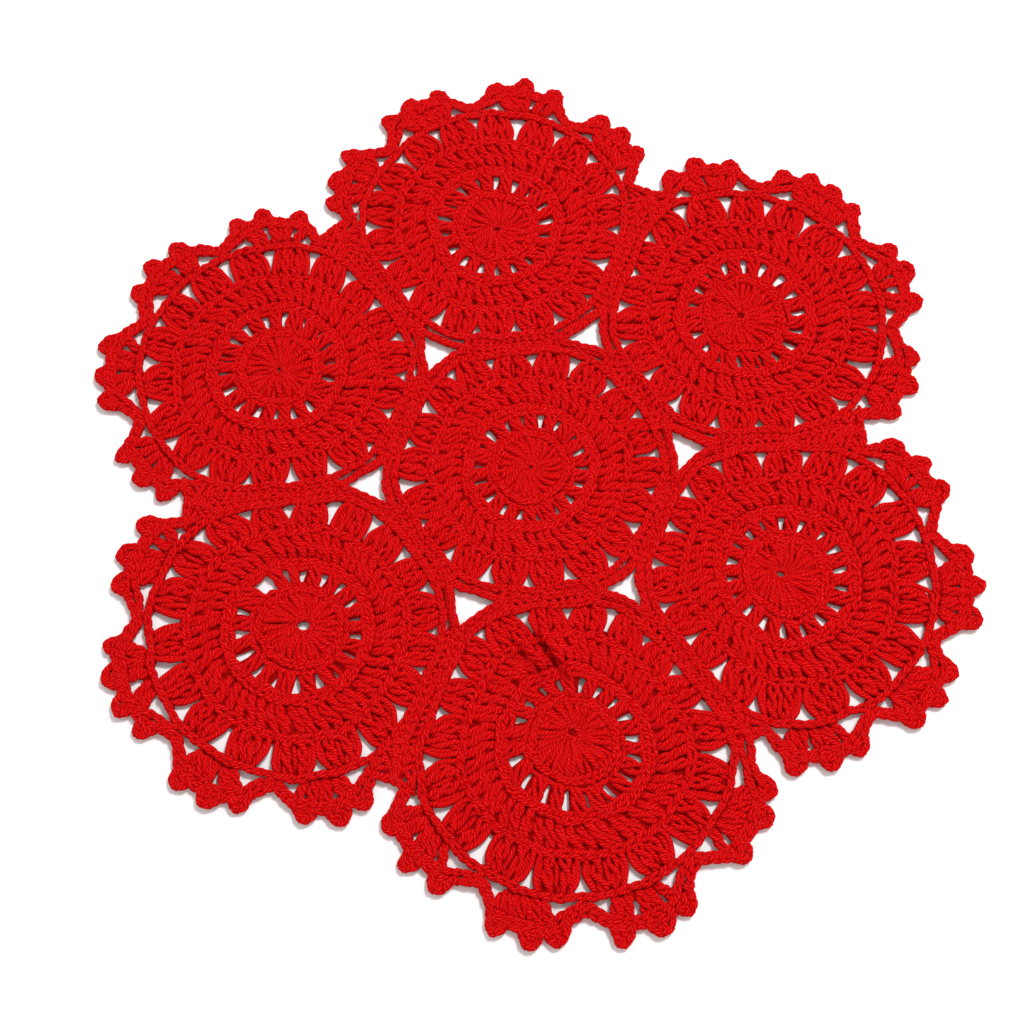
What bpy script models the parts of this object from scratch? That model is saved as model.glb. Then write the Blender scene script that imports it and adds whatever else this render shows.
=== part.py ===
"""A crocheted lace doily: seven round motifs joined into one flat rosette.

Metres, +Z up. The origin is under the middle of the centre motif, on the surface that the
doily lies on. +Y runs through the back motif and -Y through the front one. The doily is one
piece of openwork, modelled as one sheet: its scalloped outline, the six three-sided gaps
round the centre motif, and the low ruck in the front motif. Its stitches are finer than this.
"""

import math

import bmesh
import bpy
from mathutils import Vector

MM = 0.001

# Driving dimensions, in millimetres.
THICKNESS = 2.4  # the crocheted fabric, two crossed yarns and a little air
MOTIF_SPACING = 78.0  # between the middles of two joined motifs
JOIN_REACH_IN = 15.6  # from the middle of a join to the gap where the motifs part
NOTCH_REACH = 30.0  # from the middle of a join out to the notch where the outlines part
GAP_SIDE_BULGE = 0.6  # how far the round motifs bulge into the sides of a gap
FREE_HALF_ARC = 77.5  # degrees either side of straight out that are clear of the joins
GAP_SIDE_STEPS = 3

# The ruck: a low ridge along Y in the front motif, where the fabric has been pushed up.
RUCK_MIDDLE = (0.5, -55.0)
RUCK_HALF_WIDTH = 7.5
RUCK_HALF_LENGTH = 16.0
RUCK_HEIGHT = 3.4
RUCK_CUTS_ACROSS = 8
RUCK_CUTS_ALONG = 8

# The motifs round the centre one, anticlockwise: the direction they lie in from the centre,
# in degrees, how far the middle is off its regular place, the size against a full motif,
# and the valleys before, between and after the four scallops on the free side, in degrees from
# straight out. They are handwork, and no two are alike.
#   name, direction, off_x, off_y, size, valleys
OUTER_MOTIFS = (
    ("back", 90.0, 0.0, 0.4, 0.960, (-77.0, -38.0, 3.0, 43.0, 83.0)),
    ("back_left", 150.0, -0.5, 0.1, 0.960, (-82.0, -39.5, 3.0, 45.0, 83.0)),
    ("front_left", 210.0, -0.6, 0.0, 0.995, (-82.0, -40.0, 6.0, 45.5, 83.0)),
    ("front", 270.0, 1.2, 0.4, 1.035, (-82.0, -39.0, -5.0, 35.5, 77.0)),
    ("front_right", 330.0, -2.4, -1.0, 1.015, (-77.0, -37.5, -2.0, 39.0, 81.5)),
    ("back_right", 30.0, 0.7, 1.7, 0.995, (-84.0, -42.0, -1.5, 43.0, 84.0)),
)

# One scallop from valley to valley: a side cord, three picots, and the other side cord.
#   share of the scallop's span, radius from the motif's middle in millimetres
SCALLOP = (
    (0.00, 46.4),
    (0.10, 48.0),
    (0.20, 50.6),
    (0.24, 53.4),
    (0.29, 55.4),
    (0.35, 53.6),
    (0.40, 52.4),
    (0.46, 54.2),
    (0.53, 56.2),
    (0.60, 53.8),
    (0.65, 51.9),
    (0.70, 52.8),
    (0.76, 53.9),
    (0.82, 52.0),
    (0.87, 49.4),
    (0.94, 47.6),
)

RED = (0.62, 0.004, 0.010, 1.0)


def polar(middle, radius, degrees):
    """The point at a radius and direction from a middle."""
    angle = math.radians(degrees)
    return Vector((middle.x + radius * math.cos(angle), middle.y + radius * math.sin(angle)))


def motif_middle(direction, off_x, off_y):
    """Where an outer motif's middle lies: its regular place, and how far it is off it."""
    return polar(Vector((0.0, 0.0)), MOTIF_SPACING, direction) + Vector((off_x, off_y))


def scallop_points(middle, direction, size, valleys):
    """The free side of one outer motif, anticlockwise, clear of its joins."""
    points = []
    for start, end in zip(valleys, valleys[1:]):
        for share, radius in SCALLOP:
            off_centre = start + share * (end - start)
            if abs(off_centre) < FREE_HALF_ARC:
                points.append(polar(middle, radius * size, direction + off_centre))
    return points


def notch_point(middle, following):
    """The bottom of the notch between two neighbouring outer motifs."""
    halfway = (middle + following) / 2
    return halfway + halfway.normalized() * NOTCH_REACH


def outline_points():
    """The whole edge of the doily, anticlockwise."""
    middles = [motif_middle(*row[1:4]) for row in OUTER_MOTIFS]
    points = []
    for number, (_, direction, _, _, size, valleys) in enumerate(OUTER_MOTIFS):
        following = middles[(number + 1) % len(middles)]
        points += scallop_points(middles[number], direction, size, valleys)
        points.append(notch_point(middles[number], following))
    return points


def gap_corner(first, second, inside):
    """Where two joined motifs part, on the side of the point inside the gap."""
    halfway = (first + second) / 2
    across = Vector((first.y - second.y, second.x - first.x)).normalized()
    if across.dot(inside - halfway) < 0:
        across = -across
    return halfway + across * JOIN_REACH_IN


def gap_points(middles):
    """One three-sided gap, whose sides bulge inwards with the edges of its three motifs."""
    inside = (middles[0] + middles[1] + middles[2]) / 3
    corners = [gap_corner(middles[i], middles[(i + 1) % 3], inside) for i in range(3)]
    points = []
    for start, end in zip(corners, corners[1:] + corners[:1]):
        inwards = (inside - (start + end) / 2).normalized()
        for step in range(GAP_SIDE_STEPS):
            share = step / GAP_SIDE_STEPS
            bulge = GAP_SIDE_BULGE * 4 * share * (1 - share)
            points.append(start.lerp(end, share) + inwards * bulge)
    return points


def ruck_height(x, y):
    """How far the ruck lifts the fabric at a point, in millimetres."""
    across = abs(x - RUCK_MIDDLE[0]) / RUCK_HALF_WIDTH
    along = abs(y - RUCK_MIDDLE[1]) / RUCK_HALF_LENGTH
    if across >= 1 or along >= 1:
        return 0.0
    return RUCK_HEIGHT * math.cos(across * math.pi / 2) ** 2 * math.cos(along * math.pi / 2) ** 2


def flat_outline(name, loops):
    """A filled flat curve as thick as the fabric, with holes where a loop lies in another."""
    curve = bpy.data.curves.new(name, "CURVE")
    curve.dimensions = "2D"
    curve.fill_mode = "BOTH"
    curve.extrude = THICKNESS * MM / 2
    for points in loops:
        spline = curve.splines.new("POLY")
        spline.points.add(len(points) - 1)
        for spline_point, point in zip(spline.points, points):
            spline_point.co = (point.x * MM, point.y * MM, 0.0, 1.0)
        spline.use_cyclic_u = True
    return bpy.data.objects.new(name, curve)


def mesh_from_curve(curve_object, name):
    """The curve's evaluated shape as a mesh whose caps are welded to its sides."""
    graph = bpy.context.evaluated_depsgraph_get()
    mesh = bpy.data.meshes.new_from_object(curve_object.evaluated_get(graph))
    mesh.name = name
    shape = bmesh.new()
    shape.from_mesh(mesh)
    bmesh.ops.remove_doubles(shape, verts=shape.verts, dist=0.01 * MM)
    shape.to_mesh(mesh)
    shape.free()
    return mesh


def cut_across(shape, point, normal):
    """An edge wherever the plane meets the shape; nothing is taken away."""
    everything = shape.verts[:] + shape.edges[:] + shape.faces[:]
    bmesh.ops.bisect_plane(shape, geom=everything, dist=1e-7, plane_co=point, plane_no=normal)


def raise_ruck(mesh):
    """Cuts the sheet finely where the ruck lies, and lifts it there."""
    shape = bmesh.new()
    shape.from_mesh(mesh)
    middle = Vector((RUCK_MIDDLE[0], RUCK_MIDDLE[1], 0.0)) * MM
    spans = (
        (Vector((1.0, 0.0, 0.0)), RUCK_HALF_WIDTH * MM, RUCK_CUTS_ACROSS),
        (Vector((0.0, 1.0, 0.0)), RUCK_HALF_LENGTH * MM, RUCK_CUTS_ALONG),
    )
    for direction, half_span, cuts in spans:
        for cut in range(cuts + 1):
            offset = half_span * (2 * cut / cuts - 1)
            cut_across(shape, middle + direction * offset, direction)
    for vert in shape.verts:
        vert.co.z += THICKNESS * MM / 2 + ruck_height(vert.co.x / MM, vert.co.y / MM) * MM
    bmesh.ops.triangulate(shape, faces=shape.faces)
    bmesh.ops.recalc_face_normals(shape, faces=shape.faces)
    shape.to_mesh(mesh)
    shape.free()


def cotton_material():
    """Bright red cotton yarn, matt with a slight shine."""
    material = bpy.data.materials.new("red_cotton")
    material.use_nodes = True
    shader = material.node_tree.nodes["Principled BSDF"]
    shader.inputs["Base Color"].default_value = RED
    shader.inputs["Roughness"].default_value = 0.75
    shader.inputs["Metallic"].default_value = 0.0
    return material


def make_doily(collection):
    """The whole doily as one sheet."""
    centre = Vector((0.0, 0.0))
    middles = [motif_middle(*row[1:4]) for row in OUTER_MOTIFS]
    loops = [outline_points()]
    for number, middle in enumerate(middles):
        loops.append(gap_points((centre, middle, middles[(number + 1) % len(middles)])))
    curve_object = flat_outline("doily_outline", loops)
    collection.objects.link(curve_object)
    bpy.context.view_layer.update()
    mesh = mesh_from_curve(curve_object, "doily")
    outline = curve_object.data
    bpy.data.objects.remove(curve_object)
    bpy.data.curves.remove(outline)
    raise_ruck(mesh)
    mesh.materials.clear()
    mesh.materials.append(cotton_material())
    collection.objects.link(bpy.data.objects.new("doily", mesh))


def main():
    for existing in list(bpy.data.objects):
        bpy.data.objects.remove(existing, do_unlink=True)
    collection = bpy.data.collections.new("lace_doily")
    bpy.context.scene.collection.children.link(collection)
    make_doily(collection)


main()
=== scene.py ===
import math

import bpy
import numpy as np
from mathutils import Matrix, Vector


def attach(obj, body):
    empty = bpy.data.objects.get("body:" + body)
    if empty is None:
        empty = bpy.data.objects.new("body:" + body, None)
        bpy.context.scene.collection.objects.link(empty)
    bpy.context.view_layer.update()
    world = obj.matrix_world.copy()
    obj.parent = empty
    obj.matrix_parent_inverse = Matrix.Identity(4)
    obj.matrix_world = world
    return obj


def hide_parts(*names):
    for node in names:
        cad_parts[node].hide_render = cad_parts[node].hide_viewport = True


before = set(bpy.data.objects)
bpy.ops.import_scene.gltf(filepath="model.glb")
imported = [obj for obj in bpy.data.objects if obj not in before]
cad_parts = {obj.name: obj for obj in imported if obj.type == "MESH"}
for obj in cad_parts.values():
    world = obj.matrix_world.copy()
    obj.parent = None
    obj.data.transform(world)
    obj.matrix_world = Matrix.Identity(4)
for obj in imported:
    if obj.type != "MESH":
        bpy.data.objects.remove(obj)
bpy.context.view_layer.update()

# The looks of a crocheted lace doily: every strand of its red cotton yarn, on a thin ground
# that closes the fabric behind them, dark with painted shade. Lengths are in millimetres until
# they reach Blender.
#
# One motif is first worked out flat, as (radius, degrees) from its middle, with 0 degrees
# straight out from the doily's middle. Motif.lay then puts it in place and presses it against
# its neighbours. A strand's points have four columns: x, y, height above the surface that the
# doily lies on, and the yarn's thickness against its usual one.

MM = 0.001

# The layout, as in the part's source.
MOTIF_SPACING = 78.0
JOIN_REACH_IN = 15.6
NOTCH_REACH = 30.0
GAP_SIDE_BULGE = 0.6
RUCK_MIDDLE_Y = -55.0
RUCK_HALF_LENGTH = 16.0
RUCK_HEIGHT = 3.4
# The crease on the ruck's left: where it lies, and how far it turns from straight along Y.
CREASE_MIDDLE = (-4.1, -54.0)
CREASE_TURN = 0.55
#   side of the crease, how far off its crest is, the crest's height, the width of its far
#   flank, half its length
RUCK_RIDGES = (
    (1.0, 2.3, RUCK_HEIGHT, 8.5, RUCK_HALF_LENGTH),
    (-1.0, 2.3, 2.7, 5.0, 10.0),
)

# The motifs round the centre one, anticlockwise. They are handwork, and no two are alike. The
# valleys are those before, between and after the scallops, in degrees from straight out.
#   name, direction, off_x, off_y, size, turn of the petals, radius of the hole in the middle
#   (below 0 where a pit is all there is, which the ground closes in painted shade), how far the
#   open round lies off the middle, outwards, and the valleys
OUTER_MOTIFS = (
    ("back", 90.0, 0.0, 0.4, 0.960, 3.1, -0.7, 0.3, (-77.0, -38.0, 3.0, 43.0, 83.0)),
    ("back_left", 150.0, -0.5, 0.1, 0.960, 0.4, 0.8, 0.3, (-82.0, -39.5, 3.0, 45.0, 83.0)),
    ("front_left", 210.0, -0.6, 0.0, 0.995, 0.9, 1.6, 0.5, (-82.0, -40.0, 6.0, 45.5, 83.0)),
    ("front", 270.0, 1.2, 0.4, 1.035, -5.2, -0.9, 1.6, (-82.0, -39.0, -5.0, 35.5, 77.0)),
    ("front_right", 330.0, -2.4, -1.0, 1.015, -1.0, 0.7, 0.3, (-77.0, -37.5, -2.0, 39.0, 81.5)),
    ("back_right", 30.0, 0.7, 1.7, 0.995, -2.4, -0.9, 0.3, (-84.0, -42.0, -1.5, 43.0, 84.0)),
)
#   name, direction, middle, size, turn of the petals, hole, lean, and no valleys
CENTRE_MOTIF = ("centre", 0.0, (0.0, 0.0), 1.0, 1.5, 0.3, 0.0, ())

# Where a stitch of a motif's open round has slipped aside, so that the gap before it is wide,
# in degrees from straight out, and how wide that gap in the ground is to either side.
WIDE_GAPS = {"front_left": 273.0}
NO_WIDE_GAP = -720.0
WIDE_GAP_HALF = 8.5

# The yarn, and how finely its strands and the lines that they follow are cut.
YARN_RADIUS = 0.68
YARN_RADII = (0.94, 1.06)  # one strand against another
YARN_SIDES = 6
YARN_STEP = 1.2
LINE_STEP = 0.8
STEP_SLACK = 0.25
TIP_SHRINK = 0.55
FLOOR_CLEARANCE = 0.03
TEXTURE_SHIFT = 50.0  # how far along its texture a strand may start

# Heights in the fabric.
MID_HEIGHT = 1.30
STRAND_RISE = 0.48
LOWEST_STRAND = 0.612
GROUND_HEIGHT = 0.60
GROUND_THICKNESS = 0.3

# The rounds of a full-size motif, by radius.
DISC_ROW = 11.7
DISC_EDGE = 12.7
SPOKE_FOOT = 13.7
SPOKE_NECK = 19.3
FIRST_ROW = 21.2
SECOND_ROW = 31.5
PETAL_FOOT = 31.6
RING = 42.2
CELLS = 18
CELL_SPAN = 360.0 / CELLS
PILLARS = 3 * CELLS
PILLAR_SPAN = 360.0 / PILLARS

# How neighbours press on a motif: the last rounds of two joined motifs keep this far from the
# middle of the join, and the exponent rounds the corners between one join and the next.
JOIN_HALF_BAND = 2.4
GAP_CLEARANCE = 4.1
PRESS_EXPONENT = 16
LEAST_FACING = 0.05
# The pressure is the mean over these degrees up to the first of the two radii, and its own at
# the second. It dies away inside the last radius.
EVENING_DEGREES = (-20.0, -7.0, 7.0, 20.0)
EVENING_RADII = (26.0, 38.0)
UNPRESSED_RADIUS = 10.0
# The shells sink from the first of these radii to the second.
SHELL_RADII = (43.5, 55.5)
SHELL_LIFT = -0.45
# The share of a motif's lean at each of these radii.
LEAN_RADII = (3.0, 18.0, 34.0)
LEAN_SHARES = (0.0, 1.0, 0.0)

# The tall stitches. Pairs are for the foot and the head, and a waver is the spread of what is
# drawn at random.
#   half the width, the yarn's thickness, how far along the strands twist round once, its waver,
#   where in the twist they start, its waver, strands, how far the ends dive, the height's waver
STITCHES = {
    "disc": ((0.30, 1.00), (0.78, 1.30), 21.0, 0.0, 1.0, 0.5, 2, 0.30, 0.10),
    "spoke": ((1.15, 1.60), (1.06, 1.06), 13.0, 0.0, 1.2, 0.7, 4, 0.60, 0.10),
    "pillar": ((0.66, 0.92), (1.02, 1.14), 9.5, 0.0, 0.0, 1.2, 3, 0.55, 0.22),
    "petal": ((1.10, 0.85), (1.20, 1.20), 8.5, 0.8, 0.0, 1.5, 2, 0.30, 0.10),
    "fan": ((0.82, 1.12), (1.10, 1.10), 7.5, 0.0, 0.0, 0.8, 3, 0.60, 0.0),
}
DIVE_LENGTH = 1.6
DIVE_NARROWING = 0.4

# The single strands.
#   the yarn's thickness, how far above the middle of the fabric, its waver, how far the ends dive
RIDGES = {
    "disc_filler": ((0.60, 1.40), -0.35, 0.05, 0.20),
    "spoke_foot": ((1.30, 1.30), -0.45, 0.0, 0.50),
    "spoke_neck": ((1.30, 1.30), -0.25, 0.0, 0.50),
    "crossing": ((1.00, 1.00), -0.32, 0.0, 0.50),
    "groove": ((1.32, 1.32), -0.25, 0.0, 0.50),
    "petal_edge": ((1.16, 1.20), 0.0, 0.14, 0.30),
    "petal_filler": ((1.08, 1.08), -0.33, 0.0, 0.30),
    "picot_core": ((1.40, 1.40), 0.05, 0.0, 0.50),
    "fan_filler": ((1.10, 1.70), -0.25, 0.06, 0.50),
    "notch_filler": ((1.35, 1.35), -0.12, 0.08, 0.30),
    "bridge": ((1.25, 1.25), 0.0, 0.10, 0.15),
    "knot": ((1.30, 1.30), 0.0, 0.10, 0.50),
}
NO_TWIST = 1e6

# The chains.
#   half the width of a link, about how long it is, height, the yarn's thickness
CHAINS = {
    "eye": (0.30, 1.60, 0.95, 1.00),
    "disc_row": (0.72, 2.04, 1.15, 1.10),
    "first_row": (0.85, 2.47, 1.03, 1.18),
    "second_row": (0.85, 3.66, 1.03, 1.15),
    "ring": (0.64, 2.90, 1.45, 1.00),
    "shell": (0.58, 2.70, 1.40, 1.00),
    "picot": (0.46, 2.30, 1.50, 1.08),
    "edge": (0.64, 2.70, 1.45, 1.00),
    "join": (0.62, 2.90, 1.05, 1.00),
    "gap": (0.58, 2.80, 1.35, 1.00),
}
# One side of a link: shares of the link's length along, of the half width across, and the
# height above the chain's middle. Its end dives under the next link.
CHAIN_LINK = np.array((
    (0.02, 0.20, 0.10),
    (0.38, 0.55, 0.38),
    (0.82, 0.98, 0.30),
    (1.14, 0.86, -0.12),
    (1.08, 0.40, -0.42),
))
LINK_WIDTHS = (0.85, 1.15)  # one link against another
CORE_STEP = 1.6
CORE_SWAY = 0.25
CORE_DEPTH = 0.62

random = np.random.default_rng(7)


def nudge(waver):
    """A small random offset. Nothing is drawn where there is no waver."""
    return random.normal(0.0, waver) if waver else 0.0


def normalised(vectors):
    """Vectors with length one."""
    return vectors / np.maximum(np.linalg.norm(vectors, axis=-1, keepdims=True), 1e-9)


def left_of(vector):
    """A flat vector turned to its left."""
    return np.array((-vector[1], vector[0]))


def neighbours(items):
    """Each item with the next one, and the last with the first."""
    return zip(items, items[1:] + items[:1])


def smooth(points, step=YARN_STEP):
    """A Catmull-Rom curve through the points, cut into steps of about this length."""
    points = np.asarray(points, float)
    padded = np.vstack((2 * points[:1] - points[1:2], points, 2 * points[-1:] - points[-2:-1]))
    lengths = np.linalg.norm(np.diff(points, axis=0), axis=1)
    cuts = np.maximum(1, np.ceil(lengths / step - STEP_SLACK).astype(int))
    span = np.repeat(np.arange(len(cuts)), cuts)
    first = np.repeat(np.cumsum(cuts) - cuts, cuts)
    t = ((np.arange(len(span)) - first) / cuts[span])[:, None]
    a, b, c, d = (padded[span + k] for k in range(4))
    curve = b + 0.5 * ((c - a) * t + (2 * a - 5 * b + 4 * c - d) * t**2
                       + (3 * b - a - 3 * c + d) * t**3)
    return np.vstack((curve, points[-1:]))


def flat(route):
    """The (x, y) points of a route given as (radius, degrees) pairs."""
    route = np.asarray(route, float)
    angle = np.radians(route[:, 1])
    return np.stack((route[:, 0] * np.cos(angle), route[:, 0] * np.sin(angle)), axis=1)


def meander(route, degrees):
    """A route up from the middle, from rows of the radius, the degrees off this direction, and
    the waver of each."""
    return [(radius + nudge(radius_waver), degrees + off + nudge(off_waver))
            for radius, off, radius_waver, off_waver in route]


class Line:
    """A smooth line through flat points, sampled by the distance along it."""

    def __init__(self, points):
        self.points = smooth(points, LINE_STEP)
        steps = np.linalg.norm(np.diff(self.points, axis=0), axis=1)
        self.travel = np.concatenate(([0.0], np.cumsum(steps)))
        self.length = self.travel[-1]
        direction = np.gradient(self.points, axis=0)
        direction /= np.linalg.norm(direction, axis=1)[:, None]
        self.direction = direction

    def at(self, along, across, height, thickness=1.0):
        """Points at these distances along the line, to its left, and above the surface, with
        the yarn's thickness there."""
        x, y = (np.interp(along, self.travel, self.points[:, k]) for k in range(2))
        dx, dy = (np.interp(along, self.travel, self.direction[:, k]) for k in range(2))
        beyond = np.maximum(along - self.length, 0) + np.minimum(along, 0)
        x, y = x + dx * beyond - dy * across, y + dy * beyond + dx * across
        rest = (np.broadcast_to(value, x.shape) for value in (height, thickness))
        return np.stack((x, y, *rest), axis=1)


def twisted(points, half_width, thick, lay, phase, strands, dive, lift):
    """Strands along flat points that twist round each other, once in each lay, and dive at
    both ends. half_width and thick are (foot, head) pairs."""
    line = Line(points)
    along = np.linspace(0.0, line.length, max(4, round(line.length / YARN_STEP) + 1))
    width = np.interp(along, (0.0, line.length), half_width)
    thickness = np.interp(along, (0.0, line.length), thick)
    near_end = np.clip(1.0 - np.minimum(along, line.length - along) / DIVE_LENGTH, 0.0, 1.0)
    made = []
    for strand in range(strands):
        turn = phase + 2 * math.pi * (strand / strands - along / lay)
        height = MID_HEIGHT + lift + STRAND_RISE * np.sin(turn) * (1 - near_end) - dive * near_end
        across = width * (1.0 - DIVE_NARROWING * near_end) * np.cos(turn)
        made.append(line.at(along, across, np.maximum(height, LOWEST_STRAND), thickness))
    return made


def stitch(kind, points, width=1.0):
    """A tall stitch of one kind along flat points, its twist and height slightly off."""
    half_width, thick, lay, lay_waver, phase, phase_waver, strands, dive, waver = STITCHES[kind]
    lay += nudge(lay_waver)
    phase += nudge(phase_waver)
    return twisted(points, np.multiply(half_width, width), thick, lay, phase, strands, dive,
                   nudge(waver))


def ridge(kind, points):
    """A single strand of one kind along flat points, which dives at both ends."""
    thick, lift, waver, dive = RIDGES[kind]
    return twisted(points, (0.0, 0.0), thick, NO_TWIST, 0.0, 1, dive, lift + nudge(waver))


def chain(kind, points, core=True):
    """A chain of interlocked V-shaped links along flat points, with a core strand under it."""
    half_width, link, height, thick = CHAINS[kind]
    line = Line(points)
    count = max(1, round(line.length / link))
    link = line.length / count
    start = np.arange(count)[:, None] * link
    along = (start + CHAIN_LINK[:, 0] * link).ravel()
    spread = random.uniform(*LINK_WIDTHS, (count, 1))
    rise = np.tile(CHAIN_LINK[:, 2], count)
    made = []
    for side in (1, -1):
        across = side * half_width * (CHAIN_LINK[:, 1] * spread).ravel()
        made.append(smooth(line.at(along, across, height + rise, thick)))
    if core:
        along = np.linspace(0.0, line.length, max(3, round(line.length / CORE_STEP)))
        sway = CORE_SWAY * np.sin(along * 2 * math.pi / link)
        made.append(line.at(along, sway, height - CORE_DEPTH))
    return made


class Motif:
    """One round motif: where it lies, how large it is, and what it is joined to."""

    def __init__(self, name, direction, middle, *rest):
        self.name = name
        self.direction = direction
        self.middle = np.asarray(middle, float)
        self.size, self.petal_turn, self.eye, self.lean, self.valleys = rest
        self.wide_gap = WIDE_GAPS.get(name, NO_WIDE_GAP)
        self.joins = []

    def towards(self, place):
        """How far a place is from the middle, and in which direction from straight out."""
        offset = place - self.middle
        degrees = math.degrees(math.atan2(offset[1], offset[0])) - self.direction
        return np.linalg.norm(offset), degrees

    def join(self, other):
        """Notes a neighbour: its direction, and how far away the middle of the join is."""
        distance, degrees = self.towards(other.middle)
        self.joins.append((degrees, distance / 2))

    def leave_gap(self, place):
        """Notes a three-sided gap, which the last round keeps clear of."""
        distance, degrees = self.towards(place)
        self.joins.append((degrees, distance - GAP_CLEARANCE + JOIN_HALF_BAND))

    def ring_radius(self, degrees):
        """How far out the last round lies in a direction."""
        pressure = np.full(np.shape(degrees), (self.size * RING) ** -PRESS_EXPONENT)
        for direction, half in self.joins:
            facing = np.maximum(np.cos(np.radians(degrees - direction)), LEAST_FACING)
            pressure = pressure + ((half - JOIN_HALF_BAND) / facing) ** -PRESS_EXPONENT
        return pressure ** (-1.0 / PRESS_EXPONENT)

    def lay(self, points):
        """Pattern points (x, y, height, thickness) moved to their place in the doily."""
        radius = np.hypot(points[:, 0], points[:, 1])
        degrees = np.degrees(np.arctan2(points[:, 1], points[:, 0]))
        ring = self.ring_radius(degrees)
        even = sum(self.ring_radius(degrees + off) for off in EVENING_DEGREES)
        even /= len(EVENING_DEGREES)
        own_share = np.interp(radius, EVENING_RADII, (0.0, 1.0))
        ring = np.where(radius < RING, even + (ring - even) * own_share, ring)
        pressed = np.clip(radius / UNPRESSED_RADIUS, 0.0, 1.0)
        scale = self.size + (ring / RING - self.size) * pressed
        reach = np.where(radius < RING, radius * scale, ring + (radius - RING) * self.size)
        angle = np.radians(degrees + self.direction)
        lean = self.lean * np.interp(radius, LEAN_RADII, LEAN_SHARES)
        outwards = math.radians(self.direction)
        laid = points.copy()
        laid[:, 0] = self.middle[0] + reach * np.cos(angle) + lean * math.cos(outwards)
        laid[:, 1] = self.middle[1] + reach * np.sin(angle) + lean * math.sin(outwards)
        if self.valleys:
            laid[:, 2] += np.interp(radius, SHELL_RADII, (0.0, SHELL_LIFT))
        return laid

    def unlay(self, place):
        """The (radius, degrees) of a place in the doily, if it is beyond the last round."""
        distance, degrees = self.towards(place)
        degrees = (degrees + 180.0) % 360.0 - 180.0
        return RING + (distance - float(self.ring_radius(degrees))) / self.size, degrees


def make_motifs():
    """The centre motif and the six round it, with their joins."""
    motifs = [Motif(*CENTRE_MOTIF)]
    for name, direction, off_x, off_y, *rest in OUTER_MOTIFS:
        angle = math.radians(direction)
        middle = (MOTIF_SPACING * math.cos(angle) + off_x, MOTIF_SPACING * math.sin(angle) + off_y)
        motifs.append(Motif(name, direction, middle, *rest))
    centre, *outer = motifs
    for motif, following in neighbours(outer):
        for one, other in ((centre, motif), (motif, following)):
            one.join(other)
            other.join(one)
        three = (centre, motif, following)
        for one in three:
            one.leave_gap(sum(other.middle for other in three) / 3)
    return motifs


def ruck_height(x, y):
    """How far the ruck lifts the fabric: the part's ridge, with the steep crease on its left."""
    off = x - CREASE_MIDDLE[0] + CREASE_TURN * (y - CREASE_MIDDLE[1])
    height = 0.0
    for side, crest, crest_height, flank, half_length in RUCK_RIDGES:
        from_crease = off * side
        rise = np.sin(np.clip(from_crease / crest, 0.0, 1.0) * math.pi / 2)
        fall = np.cos(np.clip((from_crease - crest) / flank, 0.0, 1.0) * math.pi / 2)
        along = np.clip(np.abs(y - RUCK_MIDDLE_Y) / half_length, 0.0, 1.0)
        height = height + crest_height * (rise * fall * np.cos(along * math.pi / 2)) ** 2
    return height


# Slow waves that pull the handwork out of true: wavelength and how far.
WAVES = ((61.0, 0.20), (37.0, 0.20), (23.0, 0.30), (13.0, 0.30), (8.0, 0.20))
WAVE_PHASES = np.random.default_rng(3).uniform(0.0, 2 * math.pi, (len(WAVES), 3, 2))
# Lumps where the fabric stands up from the surface: wavelength and how far. Their own axes are
# turned from X and Y, by the angle with this cosine and sine.
LUMPS = ((17.0, 0.16), (9.0, 0.22), (5.6, 0.20))
LUMP_PHASES = np.random.default_rng(5).uniform(0.0, 2 * math.pi, (len(LUMPS), 2))
LUMP_TURN = (0.8, 0.6)


def settle(points):
    """Points pulled slightly out of true, and lifted where the fabric is."""
    x, y = points[:, 0], points[:, 1]
    moved = np.zeros_like(points)
    for (wavelength, reach), phases in zip(WAVES, WAVE_PHASES):
        turn = 2 * math.pi / wavelength
        for axis in range(2):
            waves = np.sin(turn * y + phases[axis, 0]) * np.sin(turn * x + phases[axis, 1])
            moved[:, axis] += reach * waves
    cosine, sine = LUMP_TURN
    for (wavelength, reach), phases in zip(LUMPS, LUMP_PHASES):
        turn = 2 * math.pi / wavelength
        along = np.sin(turn * (cosine * x + sine * y) + phases[0])
        across = np.sin(turn * (sine * x - cosine * y) + phases[1])
        moved[:, 2] += reach * (1 + along * across)
    moved[:, 2] += ruck_height(x, y)
    return points + moved


def arc(radius, first, last, step=3.0):
    """The route of an arc between two directions."""
    degrees = np.linspace(first, last, max(2, round(abs(last - first) / step) + 1))
    return np.stack((np.broadcast_to(radius, degrees.shape), degrees), axis=1)


# A full round: how far its end passes its start and how often it bends, in degrees.
ROUND_OVERLAP = 1.5
ROUND_STEP = 5.0
ROUND_WAVER = 0.22


def uneven_round(radius):
    """A full round whose radius wavers as the stitches under it pull it in and out."""
    route = arc(radius, 0.0, 360.0 + ROUND_OVERLAP, ROUND_STEP)
    route[:, 0] += random.normal(0.0, ROUND_WAVER, len(route))
    return flat(route)


# The eye's ring and the disc's strands start this far beyond the eye's edge.
EYE_RING = 1.0
DISC_STITCH_START = 0.7
DISC_FILLER_START = 2.0
EYE_OVERLAP = 10.0
EYE_STEP = 12.0
DISC_STITCH_TWIST = -8.0
DISC_WAVER = 0.8
# A route's rows, here and below: radius, degrees off the stitch's direction, waver of each.
DISC_ROUTE = ((4.5, -2.0, 0.0, 1.2), (8.5, 0.0, 0.0, 0.8), (11.0, 0.0, 0.2, 0.9))


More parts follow.
